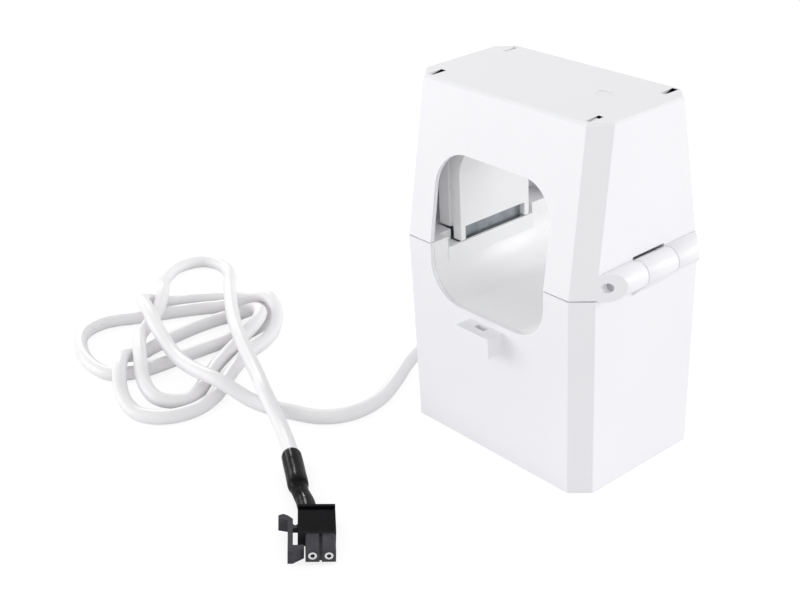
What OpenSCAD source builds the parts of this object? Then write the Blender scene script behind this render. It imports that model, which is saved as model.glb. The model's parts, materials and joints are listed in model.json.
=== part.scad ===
// Hinged split-core current transformer on a two-wire lead.
// Two tapered half shells close round a conductor. The lower half holds the wound half core and
// the lead, the upper half carries the second half core in a sleeve and swings on a side hinge.
// Axes: X across the body towards the hinge, Y from front to back, Z up. The origin is the centre
// of the footprint.

/* [Body] */
// Overall height of the closed body
body_h = 92; // [90:0.5:95]
// Width of the footprint
base_w = 61.5; // [60.5:0.1:64]
// Depth of the footprint
base_d = 42.9; // [42.4:0.1:46]
// Width at the seam
seam_w = 62.7; // [61.7:0.1:65]
// Depth at the seam
seam_d = 44.2; // [43:0.1:47]
// Width of the roof
top_w = 61.1; // [60.1:0.1:64]
// Depth of the roof
top_d = 31.8; // [31.2:0.1:36]
// Leg of the chamfer on each upright corner
corner_leg = 4.3; // [3.5:0.1:4.6]
// Small bevel round the roof
roof_bevel = 0.5; // [0.2:0.1:0.8]
// Thickness of the hinge side and latch side walls
side_wall = 2.0; // [1.6:0.1:2.2]
// Thickness of the front and back plates
plate_wall = 1.2; // [1:0.1:1.5]
// Thickness of the corner walls
corner_wall = 1.6; // [1.2:0.1:1.8]
// Thickness of the roof and of the floor
roof_wall = 2.0; // [1.8:0.1:2.4]
// Gap between the half shells at the seam
seam_gap = 0.3; // [0.2:0.05:0.6]
// Diameter of the moulding gate's dimple in the roof
gate_d = 4.5; // [3:0.1:5]
// Depth of that dimple
gate_deep = 0.25; // [0.1:0.05:0.4]
// Distance of the dimple from the middle towards the hinge
gate_x = 15.1; // [14:0.1:16]
// Distance of the dimple behind the middle plane
gate_y = 1.7; // [-2:0.1:2]

/* [Window] */
// Width of the conductor window
window_w = 38.4; // [36:0.1:39.4]
// Height of the conductor window
window_h = 38.6; // [37:0.1:39.5]
// Height of the roof above the top of the window
roof_room = 15.8; // [15.4:0.1:18]
// Distance of the seam below the window's centre
seam_drop = 5.2; // [4.2:0.1:6.2]
// Corner radius of the window
window_r = 9.7; // [8.5:0.1:10.2]

/* [Carriers] */
// Wall of the trough that lines the lower half of the window
trough_wall = 1.4; // [1:0.1:1.8]
// Thickness of the decks at the seam
deck_t = 1.4; // [1:0.1:2]
// How far the pads and the sleeve stand proud of the window's sides
pad_proud = 0.35; // [0.2:0.05:0.5]
// Reach of the pads and of the notches beside them towards the front
pad_front = 16.1; // [14:0.1:16.5]
// Reach of the pads and of the notches beside them towards the back
pad_back = 13.6; // [13:0.1:16]
// Reach of the notches from the sleeve's inner face
notch_in = 3.45; // [3:0.05:4]
// Height of the foot of the pads above the window's lowest line
pad_foot = 6.7; // [5:0.1:8]
// Depth of the sockets round the lower core legs
socket_h = 11; // [8:0.5:13]
// Wall of the leg sockets
socket_wall = 0.9; // [0.8:0.1:1.1]
// Skin of the sleeve and of the pads on the window side of the core
skin_in = 1.7; // [1.5:0.05:1.9]
// Thickness of the lip on the pads that hides the cut between the cores
pad_lip = 0.75; // [0.6:0.05:1]
// Height of the lower core's legs above the floor of the sleeve's pockets
core_proud = 1; // [0.5:0.1:1.4]
// Skin of the sleeve on the far side of the core
skin_out = 1.0; // [0.8:0.05:1.2]
// Skin of the sleeve at the front and back of the core
skin_end = 1.6; // [1.2:0.05:2]
// Width of the corner tongues below the sleeve
tongue_w = 2.8; // [2:0.1:3.4]
// Width of the groove beside each tongue
groove_w = 1.4; // [0.8:0.1:1.8]
// Depth of that groove
groove_deep = 0.6; // [0.3:0.05:0.8]
// Height of core that shows under the sleeve's inner skin
strip_h = 3.8; // [3:0.1:4.5]
// Gap between carriers and housings that fit together
fit_gap = 0.1; // [0.05:0.01:0.15]
// Gap at the sleeve's front and back in the pocket of the lower half
pocket_gap = 0.4; // [0.35:0.05:0.6]
// Gap beyond the sleeve's far side in the pocket, which the swing of the lid needs
pocket_side = 0.6; // [0.5:0.05:0.7]
// Thickness of the sleeve's top flange
flange_t = 1.3; // [1:0.1:1.6]

/* [Snap posts] */
// Thickness of each snap post
post_t = 1.0; // [0.8:0.1:1.2]
// Width of each snap post
post_w = 4.2; // [3.6:0.1:4.4]
// Reach of the hook on each post
post_hook = 0.4; // [0.3:0.05:0.5]
// Distance of the posts' inner face from the middle
post_x = 24.6; // [24.4:0.1:24.8]
// Distance of the upper posts' centre line from the middle plane
post_y_up = 12.4; // [12.2:0.1:12.5]
// Distance of the lower posts' centre line from the middle plane
post_y_low = 17.2; // [16.8:0.1:17.3]
// Thickness of the ledge that each hook grips
ledge_t = 0.8; // [0.6:0.1:1]
// Depth of a hook below the outer face
hook_sink = 0.5; // [0.3:0.1:0.6]
// Clearance round each post in its slot
slot_gap = 0.15; // [0.1:0.01:0.2]

/* [Core] */
// Thickness of the wound core
core_t = 5.2; // [4.6:0.1:5.5]
// Depth of the wound core along the conductor
core_d = 20.8; // [19:0.1:21]
// Distance of the cut between the two half cores below the seam
cut_drop = 2.65; // [2.2:0.05:2.9]
// Air gap left in the cut
core_gap = 0.1; // [0.05:0.01:0.15]
// Gap between the core and the plastics that hold it
core_fit = 0.05; // [0.02:0.01:0.08]

/* [Winding] */
// Wall of the bobbin's tube
bobbin_wall = 1.0; // [0.8:0.1:1.4]
// Thickness of each bobbin flange
flange_w = 1.2; // [0.8:0.1:1.6]
// Depth of the bobbin flanges
bobbin_d = 38; // [37:0.5:39]
// Gap between the bobbin flanges and the trough above them
bobbin_room = 5.2; // [4.2:0.1:7]
// Share of the spare height that is left below the winding
winding_share = 0.48; // [0.4:0.01:0.6]
// Build of the copper winding
winding_t = 6.4; // [4:0.1:6.6]
// Corner radius of the winding
winding_r = 4; // [2:0.5:5]
// Thickness of the tape round the winding
tape_t = 0.3; // [0.1:0.05:0.5]
// Diameter of the bobbin's solder pins
solder_pin_d = 0.8; // [0.6:0.1:1]
// Distance between the solder pins
solder_pin_span = 10; // [8:0.5:12]
// Distance of the solder pins below the middle of the winding
solder_pin_drop = 9.8; // [9:0.1:10.8]
// Free length of the solder pins
solder_pin_len = 3.2; // [2:0.1:4]
// Diameter of the insulated leads inside the housing
lead_d = 1.3; // [1:0.1:1.5]

/* [Spring] */
// Thickness of the leaf spring over the upper core
spring_t = 0.4; // [0.3:0.05:0.6]
// Width of the leaf spring
spring_w = 14; // [10:0.5:18]
// Span of the leaf spring
spring_span = 36; // [32:0.5:40]

/* [Hinge] */
// Distance of the hinge axis outside the seam's edge
hinge_out = 1.45; // [1.35:0.05:1.6]
// Radius of the hinge barrel
barrel_r = 3.3; // [3.1:0.05:3.35]
// Length of the middle knuckle
knuckle_len = 10.3; // [9:0.1:14]
// Gap at each end of the middle knuckle
knuckle_gap = 0.2; // [0.15:0.05:0.5]
// Slot left above the middle knuckle
knuckle_slot = 0.25; // [0.2:0.05:0.6]
// Diameter of the hinge pin
hinge_pin_d = 2.0; // [1.6:0.1:2.4]
// Radial clearance of the pin in the upper knuckles
pin_play = 0.05; // [0.03:0.01:0.08]
// Radial gap round the pin in the counterbore at each end of the barrel
counterbore_gap = 0.15; // [0.1:0.05:0.4]
// Depth of the pin's end inside the barrel's end
pin_sink = 0.4; // [0.3:0.1:1]

/* [Latch] */
// Width of the latch tongue
latch_w = 14; // [10:0.5:18]
// Thickness of the latch tongue
latch_t = 1.5; // [1.2:0.1:1.8]
// Gap between the tongue and the widest line of the lower shell
latch_gap = 0.9; // [0.8:0.05:1.1]
// Reach of the tongue below the seam
latch_drop = 9; // [7.5:0.5:12]
// Reach of the tongue's root above the seam
latch_root = 6; // [5:0.5:8]
// Height of the step that the tongue bends out over, above the seam
latch_step = 1.5; // [1:0.1:2]
// Reach of the lip at the tongue's end
latch_lip = 0.8; // [0.5:0.1:1.2]
// Depth of the catch ridge on the lower shell
catch_out = 0.55; // [0.3:0.05:0.6]
// Height of the catch ridge
catch_h = 3; // [2:0.1:3.6]
// Distance of the ridge's edge below the seam
catch_drop = 5.5; // [4.5:0.1:6]
// How far the ridge stops short of the tongue's edges
catch_inset = 1.5; // [1:0.1:3]

/* [Tie lug] */
// Width of the tie lug on the front plate
lug_w = 11; // [9:0.1:13]
// Height of the tie lug
lug_h = 5.3; // [4:0.1:7]
// Reach of the tie lug from the front plate
lug_out = 4.9; // [4:0.1:6]
// Distance of the lug's top below the window
lug_drop = 1.6; // [1.2:0.1:3]
// Width of the slot for a cable tie
tie_slot_w = 3.4; // [2.6:0.1:4]
// Depth of the slot for a cable tie
tie_slot_d = 1.6; // [1.2:0.1:2]
// Wall between that slot and the front plate
tie_slot_back = 0.9; // [0.8:0.1:1.4]

/* [Lead exit] */
// Diameter of the round lead
cord_d = 4.0; // [3.6:0.1:4.2]
// Height of the lead's exit
exit_z = 10; // [9:0.5:12]
// Distance of the exit behind the middle plane
exit_y = 3; // [0:0.5:5]
// Radius of the strain relief's flanges
relief_r = 4.4; // [4:0.1:5]
// Radius of the strain relief's neck
neck_r = 3.4; // [3:0.1:3.8]
// Thickness of the strain relief's flanges
relief_t = 1.2; // [0.8:0.1:1.6]
// Length of the tapered boot
boot_len = 4.6; // [3:0.1:5]
// Radius of the boot at its tip
boot_tip_r = 2.7; // [2.5:0.1:3]

/* [Connector] */
// Width of the connector's rear block
plug_w = 8.8; // [8.4:0.1:9.4]
// Height of the connector's rear block
plug_h = 4.2; // [4:0.1:4.8]
// Length of the connector's rear block
plug_len = 10.5; // [9.5:0.1:12]
// Height of the lip round the block's rear edge
plug_lip_h = 0.3; // [0.1:0.05:0.5]
// Length of that lip, and of the groove in front of it
plug_lip_len = 1.0; // [0.5:0.1:1.5]
// Pitch of the two contacts
contact_pitch = 3.7; // [3.6:0.05:4]
// Distance of the pair of contacts from the block's middle, away from the lever
silo_shift = 0.8; // [0.4:0.1:0.9]
// Width and height of each silo
silo_w = 3.2; // [3:0.05:3.4]
// Length of the silos
silo_len = 6.6; // [5:0.1:8]
// Leg of the chamfer along the silos' upper edges
silo_bevel = 0.4; // [0.2:0.1:0.6]
// Distance of the lever's arm from the block
lever_gap = 1.1; // [0.9:0.1:1.5]
// Thickness of the lever's arm
lever_t = 1.2; // [1:0.1:1.4]
// Reach of the thumb pad from the block
pad_reach = 4.5; // [4:0.1:5]
// Thickness of the thumb pad along the connector
pad_t = 2.0; // [1.6:0.1:2.4]
// Distance of the thumb pad's rear face in front of the block's rear face
pad_start = 2.9; // [2:0.1:3.5]
// Crown of the thumb pad's rear face
pad_crown = 0.6; // [0.3:0.1:0.8]
// Distance of the web that carries the lever in front of the block's rear face
web_start = 7.4; // [6.5:0.1:8]
// Thickness of that web
web_t = 1.2; // [0.8:0.1:1.6]
// Height of that web
web_h = 1.4; // [1:0.1:2]
// How far the lever's front end stands ahead of the silos
lever_over = 0.5; // [0.2:0.1:1]
// Length of the slope on the lever's hook
hook_len = 2.0; // [1.4:0.1:2.6]
// Gap between the hook's tip and the silo beside it
hook_gap = 0.3; // [0.2:0.05:0.6]
// Depth by which the lever is lower than the block, above and below
lever_inset = 0.4; // [0.3:0.1:0.8]
// Outer radius of a contact barrel
contact_r = 1.0; // [0.8:0.05:1.1]
// Bore radius of a contact barrel
contact_bore_r = 0.5; // [0.4:0.05:0.6]
// How far a contact ends short of its silo's face
contact_sink = 0.1; // [0.1:0.1:1]
// Thickness of a contact's floor
contact_floor = 1; // [0.5:0.1:1.5]
// Diameter of the heat-shrink over the lead
shrink_d = 5.3; // [5:0.1:5.6]
// Diameter of the heat-shrink over the two wires
shrink_thin_d = 3.6; // [3:0.1:3.8]
// Distance of the wires' entry from the block's middle, towards the lever
entry_shift = 1.9; // [1.6:0.1:2.2]

/* [Hidden] */
$fn = 48;

// Overlap of touching shapes, reach of cutters past a face, and the root of grown shapes
eps = 0.01;
over = 1;
root = 0.2;
big = 200;
white = [0.93, 0.93, 0.95];
steel = [0.72, 0.73, 0.75];
core_grey = [0.42, 0.47, 0.50];
black = [0.06, 0.06, 0.07];

// Heights follow from the body and the window
window_top = body_h - roof_room;
window_low = window_top - window_h;
window_z = window_top - window_h / 2;
seam_z = window_z - seam_drop;
lid_z = seam_z + seam_gap;

// Half extents [x, y, diagonal] of the body at three heights
root2 = sqrt(2);
function half(w, d) = [w / 2, d / 2, (w / 2 + d / 2 - corner_leg) / root2];
base_e = half(base_w, base_d);
seam_e = half(seam_w, seam_d);
top_e = half(top_w, top_d);
wall_e = [side_wall, plate_wall, corner_wall];
one_e = [1, 1, 1];
fit_e = fit_gap * one_e;
function lower_e(z) = base_e + (seam_e - base_e) * z / seam_z;
function upper_e(z) = seam_e + (top_e - seam_e) * (z - seam_z) / (body_h - seam_z);

// Core sizes follow from the window and the skins
core_in = window_w / 2 - pad_proud + skin_in;
core_out = core_in + core_t;
core_r = window_r - pad_proud + skin_in;
core_top_in = window_top - pad_proud + skin_in;
core_cut_z = seam_z - cut_drop;
tube_half_z = core_t / 2 + core_fit + bobbin_wall;
pack_half_z = tube_half_z + winding_t + tape_t;
trough_low = window_low - trough_wall;
yoke_z = roof_wall + pack_half_z + winding_share * (trough_low - roof_wall - 2 * pack_half_z);
bobbin_top = trough_low - bobbin_room;
core_low_in = yoke_z + core_t / 2;
solder_pin_z = yoke_z - solder_pin_drop;
core_mid = (core_top_in + core_low_in) / 2;
core_half_in = (core_top_in - core_low_in) / 2;
yoke_len = 2 * (core_in - core_r) - root;

sleeve_in = window_w / 2 - pad_proud;
sleeve_out = core_out + skin_out;
sleeve_y = core_d / 2 + skin_end;
core_seat = core_cut_z - core_gap;
tongue_z = core_seat + seam_gap;

hinge_x = seam_w / 2 + hinge_out;
hinge_z = seam_z + barrel_r;
pin_r = hinge_pin_d / 2;
barrel_diag = upper_e(hinge_z)[2] * root2;
barrel_end = barrel_diag - hinge_x;

lug_top = window_low - lug_drop;
plate_y = lower_e(lug_top - lug_h / 2)[1];

exit_e = lower_e(exit_z);
flange_x = yoke_len / 2;
shelf_z = core_top_in + core_t;
flange_top = shelf_z + flange_t;

// Connector placement: the middle of its rear face, its heading and how far it leans over
plug_turn = -37;
plug_roll = -5;
plug_pos = [-7.1, -71.8, eps - sin(plug_roll) * plug_w / 2];
contact_z = plug_h / 2;

// Route of the lead, from inside the strain relief to the heat-shrink
route = [
    [-27, exit_y, exit_z], [-32, exit_y, exit_z], [-37.5, exit_y, exit_z],
    [-45, 0, 6.5], [-46.5, -7.5, 3], [-42, -16.5, 2], [-37, -26.5, 2], [-36.5, -36.5, 2],
    [-41, -44, 2], [-50, -48.5, 2], [-60, -52.5, 2.5], [-68.5, -56.5, 7], [-78.5, -58, 7],
    [-90, -57, 6.5], [-102, -54.5, 8.5], [-113.5, -51, 10.5], [-123, -47.5, 9], [-129, -42, 5],
    [-127.5, -34, 2], [-121.5, -25, 2], [-113.5, -17.5, 2], [-104.5, -14.5, 2],
    [-97.5, -19.5, 2], [-94.5, -28.5, 2], [-95, -40.5, 2], [-96, -53, 2], [-97, -64.5, 2],
    [-102, -72, 2], [-112, -73, 2], [-122.5, -70, 2], [-130, -64.5, 2], [-131.5, -56, 2],
    [-126.5, -47, 2], [-121, -36, 2], [-115, -26.5, 2], [-108, -20, 4], [-100.5, -17.5, 7.5],
    [-92.5, -20, 5.5], [-87, -27, 2.5], [-83.5, -38, 2], [-77.5, -48, 2], [-70.5, -57, 2],
    [-68, -66, 2], [-71, -74, 2], [-78, -78, 2], [-87, -77, 4], [-95.5, -72, 7],
    [-102.5, -66.5, 5.5], [-106, -59, 2], [-108, -48, 2], [-108.5, -36, 2],
    [-106.5, -26.5, 2], [-100, -23, 5.5], [-92.5, -26, 7], [-89.5, -35, 4], [-86, -45.5, 2],
    [-79, -55, 2], [-73.5, -63.5, 2], [-77.5, -71, 3.5], [-86.5, -70, 5], [-96, -65, 7],
    [-105.5, -59.5, 7.5], [-113.5, -53, 5], [-119.5, -44.5, 6], [-127.5, -37.5, 8],
    [-136.5, -32.5, 4.5], [-144.5, -26, 2.5], [-149, -18.5, 2], [-146.5, -10.5, 2],
    [-138, -8.5, 2], [-128.5, -12.5, 3], [-119.5, -18.5, 6.5], [-109.5, -25, 8],
    [-99, -31.5, 7.5], [-88, -37.5, 9], [-76.5, -42.5, 8], [-65, -47, 7], [-55, -51.5, 7],
    [-45, -54.5, 3.5], [-32.4, -60.3, 2.8]];
route_end = route[len(route) - 1];
route_dir = unit(route_end - route[len(route) - 2]);
plug_dir = [cos(plug_turn), sin(plug_turn), 0];
plug_side = [-sin(plug_turn), cos(plug_turn), 0];
plug_in = plug_pos - (entry_shift * cos(plug_roll) + contact_z * sin(plug_roll)) * plug_side
    + [0, 0, contact_z * cos(plug_roll) - entry_shift * sin(plug_roll)];

// Heat-shrink: thick over the jacket, then a step down to the two wires
shrink_path = [route_end, [-29.3, -62.5, 2.8], [-23.4, -65.5, 2.8], [-18.3, -68.5, 2.8],
    [-16, -69.8, 2.6], [-13, -70.9, 2.6], plug_in - shrink_thin_d * plug_dir, plug_in];
thick_rings = 4;
shrink_last = len(shrink_path) - 1;
shrink_r = [for (i = [0:shrink_last]) (i < thick_rings ? shrink_d : shrink_thin_d) / 2];
shrink_dirs = [for (i = [0:shrink_last])
    i == 0 ? route_dir : i >= shrink_last - 1 ? plug_dir : dir_at(shrink_path, i)];

function unit(v) = v / norm(v);
function dir_at(p, i) =
    i == 0 ? unit(p[1] - p[0]) : i == len(p) - 1 ? unit(p[i] - p[i - 1]) : unit(p[i + 1] - p[i - 1]);
function dirs_of(p) = [for (i = [0:len(p) - 1]) dir_at(p, i)];

// A tube swept along points, with a radius and a direction for each ring
module tube(p, r, d, sides) {
    n = len(p);
    side = [for (i = [0:n - 1]) unit(cross(d[i], [0, 0, 1]))];
    up = [for (i = [0:n - 1]) cross(side[i], d[i])];
    points = [for (i = [0:n - 1]) for (k = [0:sides - 1])
        p[i] + r[i] * (cos(360 * k / sides) * side[i] + sin(360 * k / sides) * up[i])];
    walls = [for (i = [0:n - 2]) for (k = [0:sides - 1]) each [
        [i * sides + k, (i + 1) * sides + k, i * sides + (k + 1) % sides],
        [i * sides + (k + 1) % sides, (i + 1) * sides + k, (i + 1) * sides + (k + 1) % sides]]];
    first = [for (k = [0:sides - 1]) k];
    last = [for (k = [sides - 1:-1:0]) (n - 1) * sides + k];
    polyhedron(points, concat([first], walls, [last]));
}

// A slab of the body seen along one heading: two leaning planes between two heights
module slab(turn, z0, z1, h0, h1) {
    rotate([90, 0, turn]) linear_extrude(height = big, center = true)
        polygon([[-h0, z0], [h0, z0], [h1, z1], [-h1, z1]]);
}

// Eight-sided tapered block between two heights, from its half extents at each
module frustum(z0, z1, e0, e1) {
    intersection() {
        slab(0, z0, z1, e0[0], e1[0]);
        slab(90, z0, z1, e0[1], e1[1]);
        slab(45, z0, z1, e0[2], e1[2]);
        slab(-45, z0, z1, e0[2], e1[2]);
    }
}

module lower_block(z0, z1, inset) {
    frustum(z0, z1, lower_e(z0) - inset, lower_e(z1) - inset);
}

module upper_block(z0, z1, inset) {
    frustum(z0, z1, upper_e(z0) - inset, upper_e(z1) - inset);
}

// Rounded rectangular bar along Y, centred at height z
module bar(w, h, r, len, z) {
    translate([0, 0, z]) rotate([90, 0, 0]) {
        cube([w, h - 2 * r, len], center = true);
        cube([w - 2 * r, h, len], center = true);
        for (sx = [-1, 1], sz = [-1, 1]) translate([sx * (w / 2 - r), sz * (h / 2 - r), 0])
            cylinder(r = r, h = len, center = true);
    }
}

module window_bar(grow, len) {
    bar(window_w + 2 * grow, window_h + 2 * grow, window_r + grow, len, window_z);
}

// Box from its ranges
module span(x0, x1, y0, y1, z0, z1) {
    translate([x0, y0, z0]) cube([x1 - x0, y1 - y0, z1 - z0]);
}

module both_sides() {
    children();
    mirror([1, 0, 0]) children();
}

module four_corners(y) {
    for (sx = [0, 1], sy = [-1, 1]) mirror([sx, 0, 0]) translate([post_x, sy * y, 0]) children();
}

// Snap post that rises from z = foot, with its hook over a ledge at z = ledge
module snap_post(foot, ledge) {
    hook_h = roof_wall - ledge_t - hook_sink - slot_gap / 3;
    grip = ledge + slot_gap / 3;
    rotate([90, 0, 0]) linear_extrude(height = post_w, center = true) polygon([[0, foot],
        [post_t, foot], [post_t, grip], [post_t + post_hook, grip],
        [post_t + post_hook, grip + hook_h / 2], [post_t, grip + hook_h], [0, grip + hook_h]]);
}

// Slot for a snap post: narrow through the ledge, wider above it
module snap_slot(ledge) {
    span(-slot_gap, post_t + slot_gap, -post_w / 2 - slot_gap, post_w / 2 + slot_gap,
        ledge - roof_wall, ledge + eps);
    span(-slot_gap, post_t + post_hook + slot_gap, -post_w / 2 - slot_gap, post_w / 2 + slot_gap,
        ledge, ledge + roof_wall);
}

module hinge_cylinder(r, y0, y1) {
    translate([hinge_x, y0, hinge_z]) rotate([-90, 0, 0]) cylinder(r = r, h = y1 - y0);
}

// One complete wound core, or with grow the channel that takes it
module core_ring(grow) {
    difference() {
        bar(2 * (core_out + grow), 2 * (core_half_in + core_t + grow), core_r + core_t + grow,
            core_d + 2 * grow, core_mid);
        bar(2 * (core_in - grow), 2 * (core_half_in - grow), core_r - grow,
            core_d + 2 * grow + over, core_mid);
    }
}

// Middle knuckle with the ramp that carries it on the hinge side wall
module knuckle_ramp() {
    wall_in = seam_w / 2 - side_wall;
    wall_out = seam_w / 2 - root;
    tip = barrel_r / root2;
    ramp_z = hinge_z - tip - (hinge_x + tip - wall_out);
    rotate([90, 0, 0]) linear_extrude(height = knuckle_len, center = true) polygon([
        [wall_in + root, ramp_z], [wall_out, ramp_z], [hinge_x + tip, hinge_z - tip],
        [hinge_x, hinge_z], [wall_in + root, hinge_z]]);
}

module lower_housing() color(white) {
    difference() {
        union() {
            difference() {
                lower_block(0, seam_z, 0 * one_e);
                lower_block(roof_wall, seam_z + over, wall_e);
                window_bar(0, big);
            }
            hinge_cylinder(barrel_r, -knuckle_len / 2, knuckle_len / 2);
            knuckle_ramp();
            span(-lug_w / 2, lug_w / 2, -plate_y - lug_out, -plate_y + plate_wall / 2,
                lug_top - lug_h, lug_top);
            catch_ridge();
        }
        hinge_cylinder(pin_r, -knuckle_len, knuckle_len);
        span(-tie_slot_w / 2, tie_slot_w / 2, -plate_y - tie_slot_back - tie_slot_d,
            -plate_y - tie_slot_back, lug_top - lug_h - over, lug_top + over);
        translate([-base_w, exit_y, exit_z]) rotate([0, 90, 0]) cylinder(r = neck_r, h = base_w);
        mirror([0, 0, 1]) four_corners(post_y_low) snap_slot(ledge_t - roof_wall);
    }
}

// Ridge on the latch side that the tongue of the lid closes over
module catch_ridge() {
    z = seam_z - catch_drop;
    x = lower_e(z)[0];
    low = z - catch_h * 2 / 3;
    high = z + catch_h / 3;
    land = catch_h / 10;
    mirror([1, 0, 0]) rotate([90, 0, 0])
        linear_extrude(height = latch_w - 2 * catch_inset, center = true)
            polygon([[x - side_wall / 2, low], [x, low], [x + catch_out, z - land],
                [x + catch_out, z], [x, high], [x - side_wall / 2, high]]);
}

// Trough, decks, pads and leg sockets of the lower half, with four snap posts down to the floor
module lower_carrier() color(white) {
    pocket_x = sleeve_out + pocket_side;
    notch_x = sleeve_in + notch_in;
    socket_in = core_in - core_fit - socket_wall;
    pocket_y = sleeve_y + pocket_gap;
    difference() {
        union() {
            intersection() {
                lower_block(trough_low - over, seam_z, wall_e + fit_e);
                difference() {
                    union() {
                        window_bar(trough_wall, big);
                        span(-big, big, -big, big, seam_z - deck_t, seam_z + over);
                        both_sides() span(socket_in, pocket_x + socket_wall, -pocket_y - socket_wall,
                            pocket_y + socket_wall, core_seat - socket_h, seam_z + over);
                        both_sides() span(socket_in, notch_x + socket_wall, -pad_front - socket_wall,
                            pad_back + socket_wall, core_seat - deck_t, seam_z + over);
                    }
                    window_bar(0, big + over);
                }
            }
            both_sides() span(sleeve_in, sleeve_in + skin_in - core_fit, -pad_front, pad_back,
                window_low + pad_foot, core_seat);
            mirror([0, 0, 1]) four_corners(post_y_low) snap_post(deck_t / 2 - seam_z, ledge_t - roof_wall);
        }
        core_ring(core_fit);
        both_sides() span(core_in - core_fit, core_out + core_fit, -core_d / 2 - core_fit,
            core_d / 2 + core_fit, core_seat - socket_h - over, core_seat + over);
        both_sides() span(socket_in - over, pocket_x, -pocket_y, pocket_y, core_seat, seam_z + 2 * over);
        both_sides() span(sleeve_in - over, notch_x, -pad_front, pad_back, core_seat, seam_z + 2 * over);
        both_sides() span(sleeve_in + pad_lip, pocket_x, -pocket_y, pocket_y, core_seat - core_proud,
            core_seat + over);
    }
}

module lower_core() color(core_grey) intersection() {
    core_ring(0);
    span(-big, big, -big, big, -big, core_cut_z - core_gap / 2);
}

// Half bobbin shell round the lower yoke; the flanges stand on the floor
module bobbin_shell() {
    in_y = core_d / 2 + core_fit;
    in_z = tube_half_z - bobbin_wall;
    difference() {
        union() {
            span(-flange_x, flange_x, -in_y - bobbin_wall, in_y + bobbin_wall,
                yoke_z - tube_half_z, yoke_z + tube_half_z);
            both_sides() span(flange_x - flange_w, flange_x, -bobbin_d / 2, bobbin_d / 2,
                roof_wall, bobbin_top);
        }
        span(-big, big, -in_y, in_y, yoke_z - in_z, yoke_z + in_z);
        for (s = [-1, 1]) solder_pin(s, 0);
    }
}

module bobbin_lower() color([0.16, 0.16, 0.17]) intersection() {
    bobbin_shell();
    span(-big, big, -big, big, 0, yoke_z);
}

module bobbin_upper() color([0.16, 0.16, 0.17]) intersection() {
    bobbin_shell();
    span(-big, big, -big, big, yoke_z, big);
}

// Rectangular turn pack along X: outer block less the block inside it
module turn_pack(out_grow, out_r, in_grow, in_r) {
    y = core_d / 2 + core_fit + bobbin_wall;
    z = tube_half_z;
    len = yoke_len - 2 * flange_w;
    rotate([0, 0, 90]) difference() {
        bar(2 * (y + out_grow), 2 * (z + out_grow), out_r, len, yoke_z);
        if (in_r > 0) bar(2 * (y + in_grow), 2 * (z + in_grow), in_r, len + over, yoke_z);
        else translate([0, 0, yoke_z]) cube([2 * y, len + over, 2 * z], center = true);
    }
}

module secondary_winding() color([0.72, 0.40, 0.20]) turn_pack(winding_t, winding_r, 0, 0);

module winding_tape() color([0.85, 0.70, 0.20])
    turn_pack(winding_t + tape_t, winding_r + tape_t, winding_t, winding_r);

module solder_pin(s, extra) {
    x1 = -flange_x + flange_w;
    translate([x1, s * solder_pin_span / 2, solder_pin_z]) rotate([0, -90, 0])
        cylinder(d = solder_pin_d, h = flange_w + solder_pin_len + extra);
}

module solder_pin_a() color(steel) solder_pin(-1, 0);
module solder_pin_b() color(steel) solder_pin(1, 0);

// Insulated lead from a solder pin to the end of the round lead
module lead(s, tint) {
    start = [-flange_x - solder_pin_len, s * solder_pin_span / 2, solder_pin_z];
    end = [route[0][0], exit_y + s * cord_d / 5, exit_z];
    straight = [1.5 * lead_d, 0, 0];
    p = [start, start - straight, (start + end) / 2, end + straight, end];
    color(tint) tube(p, [for (q = p) lead_d / 2], dirs_of(p), 8);
}

module lead_a() lead(-1, [0.85, 0.85, 0.85]);
module lead_b() lead(1, [0.15, 0.15, 0.16]);

module hinge_pin() color(steel)
    hinge_cylinder(pin_r, -barrel_end + pin_sink + pin_r, barrel_end - pin_sink - pin_r);

// Moulded boot: a flange on each side of the wall, a neck through it and a tapered sleeve
module strain_relief() color(white) {
    tip = exit_e[0] + relief_t + boot_len;
    in_tip = exit_e[0] - side_wall - relief_t;
    difference() {
        translate([-in_tip, exit_y, exit_z]) rotate([0, -90, 0]) {
            cylinder(r = relief_r, h = relief_t + side_wall / 2);
            cylinder(r = neck_r, h = tip - in_tip - boot_len);
            translate([0, 0, relief_t + side_wall / 2])
                cylinder(r = relief_r, h = relief_t + side_wall / 2);
            translate([0, 0, tip - in_tip - boot_len])
                cylinder(r1 = neck_r, r2 = boot_tip_r, h = boot_len);
        }
        translate([-in_tip + over, exit_y, exit_z]) rotate([0, -90, 0])
            cylinder(r = cord_d / 2 + core_fit, h = big / 2);
        relief_wall();
    }
}

// The latch side wall as the strain relief meets it
module relief_wall() {
    difference() {
        intersection() {
            difference() {
                lower_block(roof_wall, seam_z, 0 * one_e);
                lower_block(roof_wall - over, seam_z + over, wall_e);
            }
            span(-big, 0, exit_y - 2 * relief_r, exit_y + 2 * relief_r, 0, exit_z + 2 * relief_r);
        }
        translate([-base_w, exit_y, exit_z]) rotate([0, 90, 0]) cylinder(r = neck_r, h = base_w);
    }
}

module cord() color(white) tube(route, [for (q = route) cord_d / 2], dirs_of(route), 10);

module heat_shrink() color(black) tube(shrink_path, shrink_r, shrink_dirs, 12);

module at_plug() translate(plug_pos) rotate([plug_roll, 0, plug_turn]) children();

// Connector: a lipped rear block, two silos and a rocking latch lever on one side
module connector_housing() color(black) at_plug() {
    half_w = plug_w / 2;
    difference() {
        union() {
            translate([0, -half_w, 0]) cube([plug_len, plug_w, plug_h]);
            translate([0, -half_w, 0]) cube([plug_lip_len, plug_w, plug_h + plug_lip_h]);
            for (s = [-1, 1]) translate([0, silo_shift + s * contact_pitch / 2, contact_z]) silo();
            plug_lever();
        }
        span(plug_lip_len, 2 * plug_lip_len, -half_w - over, half_w + over, plug_h - plug_lip_h, big);
        at_contacts() cylinder(r = contact_r, h = silo_len + over);
    }
}

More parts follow.
